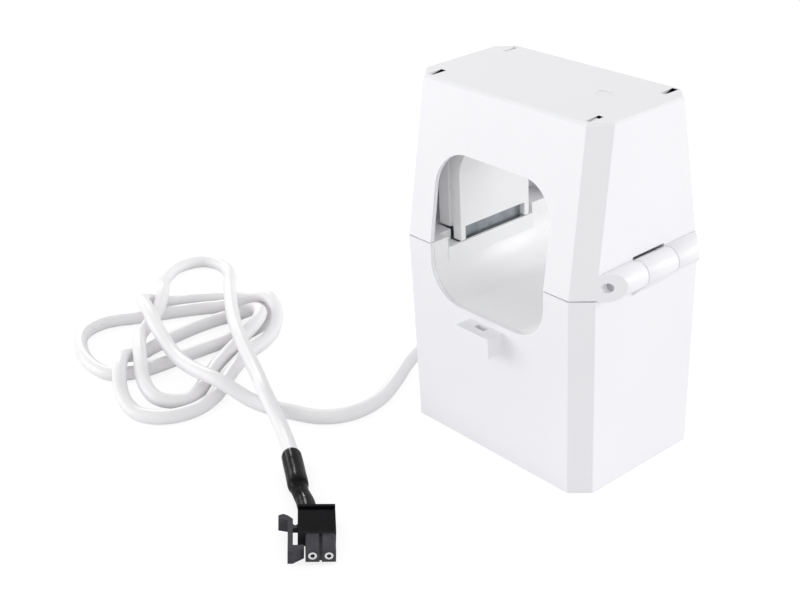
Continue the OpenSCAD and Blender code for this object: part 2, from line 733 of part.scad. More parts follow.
module at_contacts() for (s = [-1, 1]) contact_place(s) children();

module contact_place(s)
    translate([plug_len, silo_shift + s * contact_pitch / 2, contact_z]) rotate([0, 90, 0]) children();

// Silo with bevelled upper edges
module silo() {
    h = silo_w / 2;
    rotate([90, 0, 90]) linear_extrude(height = plug_len + silo_len) polygon([[-h, -h], [h, -h],
        [h, h - silo_bevel], [h - silo_bevel, h], [silo_bevel - h, h], [-h, h - silo_bevel]]);
}

// Lever: crowned thumb pad at the rear, a web to the block, a straight arm and a hook at the front
module plug_lever() {
    side = -plug_w / 2;
    arm_in = side - lever_gap;
    arm_out = arm_in - lever_t;
    pad_out = side - pad_reach;
    pad_front_x = pad_start + pad_t;
    tip = plug_len + silo_len + lever_over;
    hook_y = silo_shift - (contact_pitch + silo_w) / 2 - hook_gap;
    hook_back = tip - hook_len - lever_t / 2;
    top = plug_h - lever_inset;
    translate([0, 0, lever_inset]) linear_extrude(height = top - lever_inset) polygon([
        [pad_start + pad_crown, pad_out], [pad_start, (pad_out + arm_out) / 2],
        [pad_start + pad_crown, arm_out], [pad_front_x, arm_in], [hook_back, arm_in],
        [hook_back, hook_y], [tip - hook_len, hook_y], [tip, arm_in], [tip, arm_out],
        [pad_front_x + pad_crown, arm_out], [pad_front_x, pad_out]]);
    translate([0, 0, top - web_h]) linear_extrude(height = web_h) polygon([
        [web_start + web_t, arm_in - eps], [web_start - lever_gap / 2, arm_in - eps],
        [web_start, arm_in + lever_gap / 3], [web_start, side - lever_gap / 3],
        [web_start - lever_gap / 2, side + eps], [web_start + web_t, side + eps]]);
}

module contact(s) at_plug() contact_place(s) difference() {
    cylinder(r = contact_r, h = silo_len - contact_sink);
    translate([0, 0, contact_floor]) cylinder(r = contact_bore_r, h = silo_len);
}

module contact_a() color([0.80, 0.80, 0.78]) contact(-1);
module contact_b() color([0.80, 0.80, 0.78]) contact(1);

// Upper shell with both outer knuckles, latch tongue, snap slots and a gate dimple
module upper_housing() color(white) {
    bevel_e = top_e - roof_bevel * one_e;
    wall_in = seam_w / 2 - side_wall;
    difference() {
        union() {
            difference() {
                intersection() {
                    upper_block(lid_z, body_h, 0 * one_e);
                    frustum(lid_z - over, body_h, bevel_e + (body_h - lid_z + over) * one_e, bevel_e);
                }
                upper_block(lid_z - over, body_h - roof_wall, wall_e);
                window_bar(0, big);
            }
            intersection() {
                hinge_cylinder(barrel_r, -big / 2, big / 2);
                upper_block(lid_z - 2 * over, hinge_z + 2 * barrel_r, [-big, -big, 0]);
            }
            latch_tongue();
        }
        span(wall_in - over, hinge_x + 2 * barrel_r, -knuckle_len / 2 - knuckle_gap,
            knuckle_len / 2 + knuckle_gap, seam_z - over, hinge_z + barrel_r + knuckle_slot);
        hinge_cylinder(pin_r + pin_play, -big / 2, big / 2);
        for (s = [0, 1]) mirror([0, s, 0])
            hinge_cylinder(pin_r + counterbore_gap, barrel_end - pin_sink - 2 * pin_r, big / 2);
        four_corners(post_y_up) snap_slot(body_h - roof_wall + ledge_t);
        translate([gate_x, gate_y, body_h - gate_deep]) cylinder(d = gate_d, h = over);
    }
}

// Springy tongue on the latch side, joined to the shell above the seam
module latch_tongue() {
    x0 = seam_w / 2 + latch_gap;
    x1 = x0 + latch_t;
    low = seam_z - latch_drop;
    high = seam_z + latch_root;
    step = seam_z + latch_step;
    wall_x = upper_e(high)[0] - side_wall / 2;
    mirror([1, 0, 0]) rotate([90, 0, 0]) linear_extrude(height = latch_w, center = true)
        polygon([[x0, low], [x0, step], [wall_x, step], [wall_x, high], [x0 + root, high],
            [x1, high + x0 + root - x1], [x1, low + 2 * latch_lip], [x1 + latch_lip, low]]);
}

// Sleeve round the upper core, open at the top, with tongues and a flange with snap posts
module upper_carrier() color(white) {
    difference() {
        union() {
            span(-sleeve_out, sleeve_out, -sleeve_y, sleeve_y, lid_z, flange_top);
            both_sides()
                span(sleeve_in, sleeve_in + tongue_w, -sleeve_y, sleeve_y, tongue_z, lid_z + over);
            both_sides() span(core_out - 2 * core_t, post_x + post_t, -post_y_up - post_w / 2,
                post_y_up + post_w / 2, shelf_z, flange_top);
            four_corners(post_y_up) snap_post(shelf_z, body_h - roof_wall + ledge_t);
        }
        bar(2 * sleeve_in, window_h - 2 * pad_proud, window_r - pad_proud, big, window_z);
        core_slide();
        both_sides() span(sleeve_in - over, core_in + over, -core_d / 2 - core_fit,
            core_d / 2 + core_fit, tongue_z - over, core_cut_z + strip_h);
        for (s = [0, 1]) mirror([0, s, 0]) both_sides()
            span(sleeve_in + tongue_w, sleeve_in + tongue_w + groove_w, sleeve_y - groove_deep,
                sleeve_y + over, tongue_z - over, shelf_z - skin_in);
    }
}

// Room for the upper core, which drops in from above
module core_slide() {
    y = core_d / 2 + core_fit;
    difference() {
        span(-core_out - core_fit, core_out + core_fit, -y, y, tongue_z - over, flange_top + over);
        bar(2 * (core_in - core_fit), 2 * (core_half_in - core_fit), core_r - core_fit, big, core_mid);
    }
}

module upper_core() color(core_grey) intersection() {
    core_ring(0);
    span(-big, big, -big, big, core_cut_z + core_gap / 2, big);
}

// Bowed leaf that presses the upper core down from the roof
module core_spring() color(steel) {
    rise = body_h - roof_wall - shelf_z;
    r = (pow(spring_span / 2, 2) + rise * rise) / (2 * rise);
    intersection() {
        translate([0, 0, body_h - roof_wall - r]) rotate([90, 0, 0]) difference() {
            cylinder(r = r, h = spring_w, center = true);
            cylinder(r = r - spring_t, h = spring_w + 1, center = true);
        }
        span(-spring_span / 2, spring_span / 2, -big, big, shelf_z, body_h);
    }
}

lower_housing();
lower_carrier();
lower_core();
bobbin_lower();
bobbin_upper();
secondary_winding();
winding_tape();
solder_pin_a();
solder_pin_b();
lead_a();
lead_b();
hinge_pin();
strain_relief();
cord();
heat_shrink();
connector_housing();
contact_a();
contact_b();
upper_housing();
upper_carrier();
upper_core();
core_spring();
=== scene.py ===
"""The looks of a hinged split-core current transformer with a coiled two-wire lead.

The two half shells, the window's inner mouldings, the core and the hinge come from the CAD frame.
This script gives them their finish, lays the lead, and dresses the plug. Units are metres.
"""

import json
import math

import bmesh
import bpy
from mathutils import Euler, Matrix, Vector, noise


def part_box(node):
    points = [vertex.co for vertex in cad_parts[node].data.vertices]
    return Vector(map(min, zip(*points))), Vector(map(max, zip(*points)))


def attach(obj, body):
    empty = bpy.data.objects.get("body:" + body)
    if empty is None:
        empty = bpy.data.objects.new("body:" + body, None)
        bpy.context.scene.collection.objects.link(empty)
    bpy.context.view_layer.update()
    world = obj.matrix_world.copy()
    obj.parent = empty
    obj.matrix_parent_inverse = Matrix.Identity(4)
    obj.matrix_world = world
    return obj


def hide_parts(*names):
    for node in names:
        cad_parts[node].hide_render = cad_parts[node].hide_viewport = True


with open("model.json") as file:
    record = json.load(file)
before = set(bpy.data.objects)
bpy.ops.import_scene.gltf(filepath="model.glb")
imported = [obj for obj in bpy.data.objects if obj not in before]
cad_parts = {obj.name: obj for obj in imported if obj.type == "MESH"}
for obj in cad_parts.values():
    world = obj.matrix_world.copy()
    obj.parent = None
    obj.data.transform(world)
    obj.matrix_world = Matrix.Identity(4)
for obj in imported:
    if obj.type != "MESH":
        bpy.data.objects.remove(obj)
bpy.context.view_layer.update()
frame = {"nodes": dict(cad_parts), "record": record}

MM = 0.001

# Height of the closed body, read from the frame
BODY_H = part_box("upper_housing")[1][2]

# --------------------------------------------------------------------------- camera

VIEW_AZIMUTH = math.radians(50.62)
VIEW_ELEVATION = math.radians(26.64)
VIEW_ROLL = math.radians(-3.07)
VIEW_DISTANCE = 4.3766 * BODY_H
VIEW_TARGET = Vector((-0.6412, 0.0, 0.1553)) * BODY_H
LENS_MM = 63.19
SENSOR_MM = 36.0
NEAREST_SEEN = 10 * MM


def make_camera():
    """The camera looks at the target from the front right, tilted a little."""
    back = Vector((
        math.sin(VIEW_AZIMUTH) * math.cos(VIEW_ELEVATION),
        -math.cos(VIEW_AZIMUTH) * math.cos(VIEW_ELEVATION),
        math.sin(VIEW_ELEVATION),
    ))
    right = (-back).cross(Vector((0, 0, 1))).normalized()
    up = right.cross(-back)
    rolled_right = math.cos(VIEW_ROLL) * right + math.sin(VIEW_ROLL) * up
    rolled_up = math.cos(VIEW_ROLL) * up - math.sin(VIEW_ROLL) * right
    turn = Matrix((rolled_right, rolled_up, back)).transposed().to_4x4()
    data = bpy.data.cameras.new("camera")
    data.lens = LENS_MM
    data.sensor_width = SENSOR_MM
    data.clip_start = NEAREST_SEEN
    camera = bpy.data.objects.new("camera", data)
    camera.matrix_world = Matrix.Translation(VIEW_TARGET + VIEW_DISTANCE * back) @ turn
    bpy.context.scene.collection.objects.link(camera)
    bpy.context.scene.camera = camera


make_camera()

# --------------------------------------------------------------------------- node helpers


# Blender's wave texture at scale 1 repeats every pi / 10 units
WAVE_SCALE = 0.314


class Nodes:
    """A material's node tree with short calls for the nodes used here."""

    def __init__(self, name):
        self.material = bpy.data.materials.new(name)
        self.material.use_nodes = True
        self.tree = self.material.node_tree
        self.shader = self.tree.nodes["Principled BSDF"]
        coords = self.tree.nodes.new("ShaderNodeTexCoord")
        self.place = coords.outputs["Object"]

    def link(self, a, b):
        self.tree.links.new(a, b)

    def set(self, **values):
        for name, value in values.items():
            self.shader.inputs[name.replace("_", " ")].default_value = value

    def seen_from(self, place, turn):
        """Coordinates in a piece's own frame, given where it lies and how it is turned."""
        node = self.tree.nodes.new("ShaderNodeMapping")
        node.vector_type = "TEXTURE"
        node.inputs["Location"].default_value = place
        node.inputs["Rotation"].default_value = turn
        self.link(self.place, node.inputs["Vector"])
        return node.outputs["Vector"]

    def axis(self, vector, name):
        """One coordinate of a vector."""
        node = self.tree.nodes.new("ShaderNodeSeparateXYZ")
        self.link(vector, node.inputs["Vector"])
        return node.outputs[name]

    def least(self, a, b):
        """The smaller of two sockets."""
        node = self.tree.nodes.new("ShaderNodeMath")
        node.operation = "MINIMUM"
        self.link(a, node.inputs[0])
        self.link(b, node.inputs[1])
        return node.outputs[0]

    def blend(self, fac, a, b):
        """A colour between two other colour sockets."""
        node = self.tree.nodes.new("ShaderNodeMix")
        node.data_type = "RGBA"
        self.link(fac, node.inputs["Factor"])
        self.link(a, node.inputs["A"])
        self.link(b, node.inputs["B"])
        return node.outputs["Result"]

    def stretched(self, scale):
        """Coordinates scaled axis by axis, which draws a noise out into streaks."""
        node = self.tree.nodes.new("ShaderNodeMapping")
        node.inputs["Scale"].default_value = scale
        self.link(self.place, node.inputs["Vector"])
        return node.outputs["Vector"]

    def noise(self, scale, detail=2.0, vector=None):
        node = self.tree.nodes.new("ShaderNodeTexNoise")
        node.inputs["Scale"].default_value = scale
        node.inputs["Detail"].default_value = detail
        self.link(vector or self.place, node.inputs["Vector"])
        return node.outputs["Fac"]

    def bands(self, axis, period):
        """Even waves along an axis, one every period."""
        node = self.tree.nodes.new("ShaderNodeTexWave")
        node.wave_type = "BANDS"
        node.bands_direction = axis
        node.inputs["Scale"].default_value = WAVE_SCALE / period
        self.link(self.place, node.inputs["Vector"])
        return node.outputs["Fac"]

    def ramp(self, fac, low, high, start=0.0, end=1.0):
        """From low to high as the socket goes from start to end."""
        node = self.tree.nodes.new("ShaderNodeMapRange")
        node.inputs["From Min"].default_value = start
        node.inputs["From Max"].default_value = end
        node.inputs["To Min"].default_value = low
        node.inputs["To Max"].default_value = high
        self.link(fac, node.inputs["Value"])
        return node.outputs["Result"]

    def mix(self, fac, a, b):
        """A colour between two given colours."""
        node = self.tree.nodes.new("ShaderNodeMix")
        node.data_type = "RGBA"
        node.inputs["A"].default_value = (*a, 1)
        node.inputs["B"].default_value = (*b, 1)
        self.link(fac, node.inputs["Factor"])
        return node.outputs["Result"]

    def bump(self, height, distance, strength=1.0, below=None):
        """A fine relief, laid over another one where below is given."""
        node = self.tree.nodes.new("ShaderNodeBump")
        node.inputs["Strength"].default_value = strength
        node.inputs["Distance"].default_value = distance
        self.link(height, node.inputs["Height"])
        if below:
            self.link(below, node.inputs["Normal"])
        return node.outputs["Normal"]

    def finish(self, color=None, roughness=None, normal=None):
        """Link what is given to the shader and hand over the material."""
        if color:
            self.link(color, self.shader.inputs["Base Color"])
        if roughness:
            self.link(roughness, self.shader.inputs["Roughness"])
        if normal:
            self.link(normal, self.shader.inputs["Normal"])
        return self.material


# --------------------------------------------------------------------------- materials


def moulded_white(name, pale, shade, rough):
    """Satin moulded plastic: a fine even grain, faint flow clouds and handling sheen."""
    n = Nodes(name)
    clouds = n.noise(scale=35, detail=3)
    grain = n.noise(scale=5200, detail=2)
    sheen = n.noise(scale=90, detail=4)
    n.set(IOR=1.49)
    flow = n.bump(clouds, 0.06 * MM, strength=0.5)
    return n.finish(
        n.mix(n.ramp(clouds, 0, 1, start=0.3, end=0.7), shade, pale),
        n.ramp(sheen, rough - 0.02, rough + 0.02, start=0.2, end=0.8),
        n.bump(grain, 0.012 * MM, strength=0.5, below=flow),
    )


def soft_white(name, pale, shade, rough):
    """Glossy soft vinyl with long faint waves from its lay."""
    n = Nodes(name)
    waves = n.noise(scale=160, detail=2)
    n.set(IOR=1.5)
    return n.finish(
        n.mix(n.ramp(waves, 0, 1, start=0.3, end=0.7), shade, pale),
        n.ramp(waves, rough - 0.03, rough + 0.05),
        n.bump(waves, 0.04 * MM, strength=0.6),
    )


SCUFF_GAIN = 2.2


def plain_black(name, tone, rough, grain_scale, grain_depth):
    """Black moulded plastic with its grain and slight scuffs."""
    n = Nodes(name)
    grain = n.noise(grain_scale, detail=3)
    scuffs = n.noise(scale=260, detail=4)
    lighter = tuple(SCUFF_GAIN * t for t in tone)
    n.set(IOR=1.5)
    return n.finish(
        n.mix(n.ramp(scuffs, 0, 1, start=0.55, end=0.8), tone, lighter),
        n.ramp(scuffs, rough - 0.06, rough + 0.1, start=0.3, end=0.7),
        n.bump(grain, grain_depth, strength=0.6),
    )


SHRINK_DARK = (0.005, 0.004, 0.005)
SHRINK_PALE = (0.010, 0.008, 0.010)


def shrunk_black(name):
    """Heat-shrink sleeve: glossy black film with small creases and dull patches."""
    n = Nodes(name)
    creases = n.noise(scale=620, detail=3)
    patches = n.noise(scale=240, detail=4)
    n.set(IOR=1.5, Specular_IOR_Level=0.06)
    return n.finish(
        n.mix(n.ramp(patches, 0, 1, start=0.4, end=0.75), SHRINK_DARK, SHRINK_PALE),
        n.ramp(patches, 0.15, 0.22, start=0.3, end=0.7),
        n.bump(creases, 0.02 * MM, strength=0.5),
    )


# The plug's rear block and where it lies: turned on the floor, and rolled onto one edge
PLUG_W = 8.8 * MM
PLUG_H = 4.2 * MM
PLUG_LEN = 10.5 * MM
PLUG_TURN = math.radians(-37)
PLUG_ROLL = math.radians(-5)
PLUG_LIFT = 0.01 * MM
PLUG_PLACE = Vector((-7.1 * MM, -71.8 * MM, PLUG_LIFT - math.sin(PLUG_ROLL) * PLUG_W / 2))


def plug_black(name):
    """Black plug: a smooth dark rear block; the silos and the lever are paler and satin."""
    n = Nodes(name)
    local = n.seen_from(PLUG_PLACE, (PLUG_ROLL, 0, PLUG_TURN))
    behind = n.ramp(n.axis(local, "X"), 1, 0, PLUG_LEN - 0.1 * MM, PLUG_LEN + 0.1 * MM)
    inside = n.ramp(n.axis(local, "Y"), 0, 1, -PLUG_W / 2 - 0.2 * MM, -PLUG_W / 2 - 0.1 * MM)
    block = n.least(behind, inside)
    grain = n.noise(scale=3600, detail=3)
    scuffs = n.noise(scale=420, detail=4)
    worn = n.ramp(scuffs, 0, 1, start=0.5, end=0.75)
    smooth = n.mix(worn, (0.003, 0.003, 0.004), (0.006, 0.006, 0.008))
    satin = n.mix(worn, (0.062, 0.062, 0.070), (0.088, 0.087, 0.097))
    n.set(IOR=1.5, Specular_IOR_Level=0.03)
    return n.finish(
        n.blend(block, satin, smooth),
        n.ramp(block, 0.42, 0.34),
        n.bump(grain, 0.01 * MM, strength=0.6),
    )


STRIP_DARK = (0.25, 0.272, 0.295)
STRIP_PALE = (0.38, 0.405, 0.43)


def wound_strip(name):
    """Edge of the wound core strip: blue-grey steel, fine layers, thin varnish blotches."""
    n = Nodes(name)
    layers = n.noise(scale=9000, detail=1, vector=n.stretched((1, 0.02, 0.02)))
    varnish = n.noise(scale=240, detail=4)
    n.set(Metallic=0.75, IOR=1.6)
    return n.finish(
        n.mix(n.ramp(varnish, 0, 1, start=0.35, end=0.7), STRIP_DARK, STRIP_PALE),
        n.ramp(varnish, 0.38, 0.55),
        n.bump(layers, 0.01 * MM, strength=0.5),
    )


MARK_GAIN = 1.15


def drawn_metal(name, tone, rough):
    """Bright drawn or plated metal with fine draw marks."""
    n = Nodes(name)
    marks = n.noise(scale=4000, detail=2, vector=n.stretched((1, 0.05, 1)))
    lighter = tuple(min(1, MARK_GAIN * t) for t in tone)
    n.set(Metallic=1.0)
    return n.finish(
        n.mix(marks, tone, lighter),
        n.ramp(marks, rough - 0.06, rough + 0.08),
        n.bump(marks, 0.004 * MM, strength=0.5),
    )


def wound_wire(name):
    """Enamelled copper laid turn by turn along X."""
    n = Nodes(name)
    turns = n.bands("X", 0.45 * MM)
    lay = n.noise(scale=300, detail=3)
    n.set(Metallic=0.6, Roughness=0.3, IOR=1.6, Coat_Weight=0.4)
    return n.finish(
        n.mix(n.ramp(lay, 0, 1, start=0.3, end=0.7), (0.42, 0.13, 0.045), (0.62, 0.24, 0.09)),
        None,
        n.bump(turns, 0.12 * MM, strength=0.8),
    )


def film_tape(name):
    """Yellow insulating film with faint wrinkles across its wraps."""
    n = Nodes(name)
    wrinkles = n.noise(scale=420, detail=3, vector=n.stretched((1, 0.3, 0.3)))
    n.set(IOR=1.55, Coat_Weight=0.3)
    return n.finish(
        n.mix(wrinkles, (0.72, 0.50, 0.06), (0.86, 0.66, 0.14)),
        n.ramp(wrinkles, 0.18, 0.34),
        n.bump(wrinkles, 0.06 * MM, strength=0.5),
    )


WHITE = (0.91, 0.91, 0.935)
WHITE_SHADE = (0.895, 0.895, 0.92)

MATERIALS = {
    "white_shell": moulded_white("white_shell", WHITE, WHITE_SHADE, 0.36),
    # The inner mouldings are painted paler than the shell's white: painted light, standing in for
    # the light that shines through the thin white walls and bounces inside the window
    "white_inner": moulded_white("white_inner", (0.955, 0.955, 0.965), (0.94, 0.94, 0.95), 0.30),
    "white_soft": soft_white("white_soft", (0.90, 0.90, 0.91), (0.88, 0.88, 0.895), 0.34),
    "cord_jacket": soft_white("cord_jacket", (0.94, 0.93, 0.94), (0.92, 0.91, 0.92), 0.40),
    "core_metal": wound_strip("core_metal"),
    "bobbin": plain_black("bobbin", (0.02, 0.02, 0.022), 0.5, 2600, 0.02 * MM),
    "copper": wound_wire("copper"),
    "tape": film_tape("tape"),
    "pin_steel": drawn_metal("pin_steel", (0.55, 0.55, 0.56), 0.28),
    "lead_white": soft_white("lead_white", (0.78, 0.78, 0.78), (0.74, 0.74, 0.74), 0.4),
    "lead_black": plain_black("lead_black", (0.012, 0.012, 0.013), 0.4, 900, 0.03 * MM),
    "shrink_black": shrunk_black("shrink_black"),
    "connector_black": plug_black("connector_black"),
    "contact_tin": drawn_metal("contact_tin", (0.93, 0.93, 0.92), 0.3),
    "spring_steel": drawn_metal("spring_steel", (0.42, 0.44, 0.48), 0.3),
}

NODE_SLOTS = {part["node"]: part["material_slot"] for part in frame["record"]["subparts"]}


def paint_nodes():
    """Every CAD node takes the finish of its material slot."""
    for name, thing in frame["nodes"].items():
        thing.data.materials.clear()
        thing.data.materials.append(MATERIALS[NODE_SLOTS[name]])


paint_nodes()

# --------------------------------------------------------------------------- rounded edges


WELD_GAP = 0.002 * MM
FLAT_ANGLE = math.radians(0.3)
SHARP_ANGLE = math.radians(28)
EDGE_SEGMENTS = 2


def soften_edges(name, width):
    """A small round on every sharp edge, as a mould leaves it. Flats are made whole first."""
    thing = frame["nodes"][name]
    weld = thing.modifiers.new("weld", "WELD")
    weld.merge_threshold = WELD_GAP
    flats = thing.modifiers.new("flats", "DECIMATE")
    flats.decimate_type = "DISSOLVE"
    flats.angle_limit = FLAT_ANGLE
    bevel = thing.modifiers.new("round", "BEVEL")
    bevel.width = width
    bevel.segments = EDGE_SEGMENTS
    bevel.limit_method = "ANGLE"
    bevel.angle_limit = SHARP_ANGLE
    bevel.harden_normals = True
    bevel.use_clamp_overlap = True
    bevel.miter_outer = "MITER_ARC"


# Radius of the round on each piece's edges
SOFT_EDGES = {
    "upper_housing": 0.28 * MM,
    "lower_housing": 0.28 * MM,
    "upper_carrier": 0.2 * MM,
    "lower_carrier": 0.2 * MM,
    "connector_housing": 0.14 * MM,
}

# --------------------------------------------------------------------------- lead


def in_metres(points):
    """Points written in mm, as vectors in metres."""
    return [Vector(p) * MM for p in points]


# Middle of the lead, in mm, from its boot on the hidden side to the CAD heat-shrink's rim
EXIT_Y = 3.0
EXIT_Z = 10.0
ROUTE = in_metres([
    (-27, EXIT_Y, EXIT_Z), (-32, EXIT_Y, EXIT_Z), (-37.5, EXIT_Y, EXIT_Z),
    (-45, 0, 6.5), (-46.5, -7.5, 3), (-42, -16.5, 2), (-37, -26.5, 2), (-36.5, -36.5, 2),
    (-41, -44, 2), (-50, -48.5, 2), (-60, -52.5, 2.5), (-68.5, -56.5, 7), (-78.5, -58, 7),
    (-90, -57, 6.5), (-102, -54.5, 8.5), (-113.5, -51, 10.5), (-123, -47.5, 9), (-129, -42, 5),
    (-127.5, -34, 2), (-121.5, -25, 2), (-113.5, -17.5, 2), (-104.5, -14.5, 2),
    (-97.5, -19.5, 2), (-94.5, -28.5, 2), (-95, -40.5, 2), (-96, -53, 2), (-97, -64.5, 2),
    (-102, -72, 2), (-112, -73, 2), (-122.5, -70, 2), (-130, -64.5, 2), (-131.5, -56, 2),
    (-126.5, -47, 2), (-121, -36, 2), (-115, -26.5, 2), (-108, -20, 4), (-100.5, -17.5, 7.5),
    (-92.5, -20, 5.5), (-87, -27, 2.5), (-83.5, -38, 2), (-77.5, -48, 2), (-70.5, -57, 2),
    (-68, -66, 2), (-71, -74, 2), (-78, -78, 2), (-87, -77, 4), (-95.5, -72, 7),
    (-102.5, -66.5, 5.5), (-106, -59, 2), (-108, -48, 2), (-108.5, -36, 2),
    (-106.5, -26.5, 2), (-100, -23, 5.5), (-92.5, -26, 7), (-89.5, -35, 4), (-86, -45.5, 2),
    (-79, -55, 2), (-73.5, -63.5, 2), (-77.5, -71, 3.5), (-86.5, -70, 5), (-96, -65, 7),
    (-105.5, -59.5, 7.5), (-113.5, -53, 5), (-119.5, -44.5, 6), (-127.5, -37.5, 8),
    (-136.5, -32.5, 4.5), (-144.5, -26, 2.5), (-149, -18.5, 2), (-146.5, -10.5, 2),
    (-138, -8.5, 2), (-128.5, -12.5, 3), (-119.5, -18.5, 6.5), (-109.5, -25, 8),
    (-99, -31.5, 7.5), (-88, -37.5, 9), (-76.5, -42.5, 8), (-65, -47, 7), (-55, -51.5, 7),
    (-45, -54.5, 3.5), (-32.4, -60.3, 2.8),
])

# Middle of the heat-shrink, in mm, from its rim to just before the plug
SHRINK_LINE = in_metres([
    (-30.8, -61.25, 2.8), (-26.4, -63.75, 2.8), (-22, -66.25, 2.8), (-17.9, -68.6, 2.75),
    (-15.4, -69.75, 2.6), (-12.2, -71, 2.5),
])

CORD_D = 4.0 * MM
CORD_TUCK = 1.2 * MM
CORD_STEPS = 8
CORD_ROUNDS = 6
CORD_ARCS = 7
FLOOR_GAP = 0.02 * MM


def smooth_line(points, steps):
    """Points along one smooth curve through all the given points."""
    line = []
    padded = [2 * points[0] - points[1]] + points + [2 * points[-1] - points[-2]]
    for i in range(1, len(padded) - 2):
        a, b, c, d = padded[i - 1:i + 3]
        for k in range(steps):
            t = k / steps
            line.append(0.5 * (
                2 * b + (c - a) * t + (2 * a - 5 * b + 4 * c - d) * t ** 2
                + (3 * b - a - 3 * c + d) * t ** 3
            ))
    line.append(points[-1].copy())
    return line


def relaxed(line, rounds, floor):
    """The same line with its small kinks eased, kept on the floor."""
    line = [p.copy() for p in line]
    for _ in range(rounds):
        eased = [0.25 * a + 0.5 * b + 0.25 * c for a, b, c in zip(line, line[1:], line[2:])]
        line[1:-1] = eased
    for p in line:
        p.z = max(p.z, floor)
    return line


def add_piece(name, data, slot):
    """A new piece on the lower half, with the finish of a material slot."""
    thing = bpy.data.objects.new(name, data)
    bpy.context.scene.collection.objects.link(thing)
    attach(thing, "lower_half")
    data.materials.append(MATERIALS[slot])
    return thing


def mesh_data(name, mesh):
    """A closed bmesh, its faces turned outwards, as mesh data."""
    bmesh.ops.recalc_face_normals(mesh, faces=mesh.faces)
    data = bpy.data.meshes.new(name)
    mesh.to_mesh(data)
    mesh.free()
    return data


def make_cord():
    """The jacketed lead as one round curve along its route, its end tucked into the sleeve."""
    tuck = CORD_TUCK * (SHRINK_LINE[1] - SHRINK_LINE[0]).normalized()
    line = smooth_line(ROUTE + [SHRINK_LINE[0] + tuck], CORD_STEPS)
    line = relaxed(line, CORD_ROUNDS, CORD_D / 2 + FLOOR_GAP)
    data = bpy.data.curves.new("lead_jacket", "CURVE")
    data.dimensions = "3D"
    # A bevel of 1, so that each point's radius is the lead's own
    data.bevel_depth = 1.0
    data.bevel_resolution = CORD_ARCS
    data.use_fill_caps = True
    spline = data.splines.new("POLY")
    spline.points.add(len(line) - 1)
    for point, place in zip(spline.points, line):
        point.co = (*place, 1)
        point.radius = CORD_D / 2
    spline.use_smooth = True
    thing = add_piece("lead_jacket", data, "cord_jacket")
    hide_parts("cord")
    return thing, line


# Distance along the heat-shrink and its radius, in mm: rounded rim, thick sleeve, shoulder and
# thin sleeve
SHRINK_FORM = [
    (0.0, 2.04), (0.15, 2.32), (0.45, 2.48), (0.9, 2.57), (3.0, 2.60), (9.0, 2.57), (12.8, 2.62),
    (13.8, 2.60), (14.5, 2.50), (15.0, 2.32), (15.8, 2.14), (17.2, 2.08), (20.0, 2.16),
    (22.0, 2.26), (40.0, 2.26),
]
SHRINK_STEPS = 16
SHRINK_SIDES = 40
SHRINK_RIPPLE = 0.025
RIPPLE_ROUND = 3
RIPPLE_ALONG = 0.55
# The wires enter the plug's rear face this far to one side of its middle
ENTRY_SHIFT = 1.9 * MM


def plug_entry():
    """Where the wires enter the plug's rear face."""
    across = Vector((-math.sin(PLUG_TURN), math.cos(PLUG_TURN), 0))
    shift = ENTRY_SHIFT * math.cos(PLUG_ROLL) + PLUG_H / 2 * math.sin(PLUG_ROLL)
    rise = PLUG_H / 2 * math.cos(PLUG_ROLL) - ENTRY_SHIFT * math.sin(PLUG_ROLL)
    return PLUG_PLACE - shift * across + Vector((0, 0, rise))


def table_value(table, x):
    """The value between the two nearest rows of a table of pairs."""
    for (x0, y0), (x1, y1) in zip(table, table[1:]):
        if x <= x1:
            return y0 + (y1 - y0) * max(0.0, x - x0) / (x1 - x0)
    return table[-1][1]


def make_heat_shrink():
    """The shrunk sleeve as one closed tube whose radius follows what lies under it."""
    line = smooth_line(SHRINK_LINE + [plug_entry()], SHRINK_STEPS)
    mesh = bmesh.new()
    rings = []
    gone = 0.0
    for i, place in enumerate(line):
        ahead = line[min(i + 1, len(line) - 1)] - line[max(i - 1, 0)]
        if i > 0:
            gone += (place - line[i - 1]).length
        side = ahead.cross(Vector((0, 0, 1))).normalized()
        up = side.cross(ahead).normalized()
        ring = []
        for k in range(SHRINK_SIDES):
            turn = 2 * math.pi * k / SHRINK_SIDES
            out = math.cos(turn) * side + math.sin(turn) * up
            spot = Vector((RIPPLE_ROUND * out.x, RIPPLE_ROUND * out.z, gone / MM * RIPPLE_ALONG))
            ripple = SHRINK_RIPPLE * noise.noise(spot)
            radius = (table_value(SHRINK_FORM, gone / MM) + ripple) * MM
            ring.append(mesh.verts.new(place + radius * out))
        rings.append(ring)
    for a, b in zip(rings, rings[1:]):
        for k in range(SHRINK_SIDES):
            j = (k + 1) % SHRINK_SIDES
            mesh.faces.new((a[k], b[k], b[j], a[j]))
    mesh.faces.new(rings[0])
    mesh.faces.new(reversed(rings[-1]))
    data = mesh_data("shrink_sleeve", mesh)
    for face in data.polygons:
        face.use_smooth = len(face.vertices) == 4
    thing = add_piece("shrink_sleeve", data, "shrink_black")
    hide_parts("heat_shrink")
    return thing


# Side outline of the web between the silos, in mm from the plug's rear foot: along, up
WEB_OUTLINE = [(10.3, 0.6), (16.6, 0.6), (16.9, 0.9), (16.9, 2.4), (16.4, 2.9), (10.3, 2.9)]
WEB_SIDES = (0.52 * MM, 1.08 * MM)


def make_silo_web():
    """A thin recessed web that joins the plug's two silos."""
    turn = Euler((PLUG_ROLL, 0, PLUG_TURN)).to_matrix()
    mesh = bmesh.new()
    sides = []
    for y in WEB_SIDES:
        places = [PLUG_PLACE + turn @ Vector((x * MM, y, z * MM)) for x, z in WEB_OUTLINE]
        sides.append([mesh.verts.new(place) for place in places])
    near, far = sides
    mesh.faces.new(near)
    mesh.faces.new(reversed(far))
    for i in range(len(near)):
        j = (i + 1) % len(near)
        mesh.faces.new((near[i], far[i], far[j], near[j]))
    return add_piece("silo_web", mesh_data("silo_web", mesh), "connector_black")


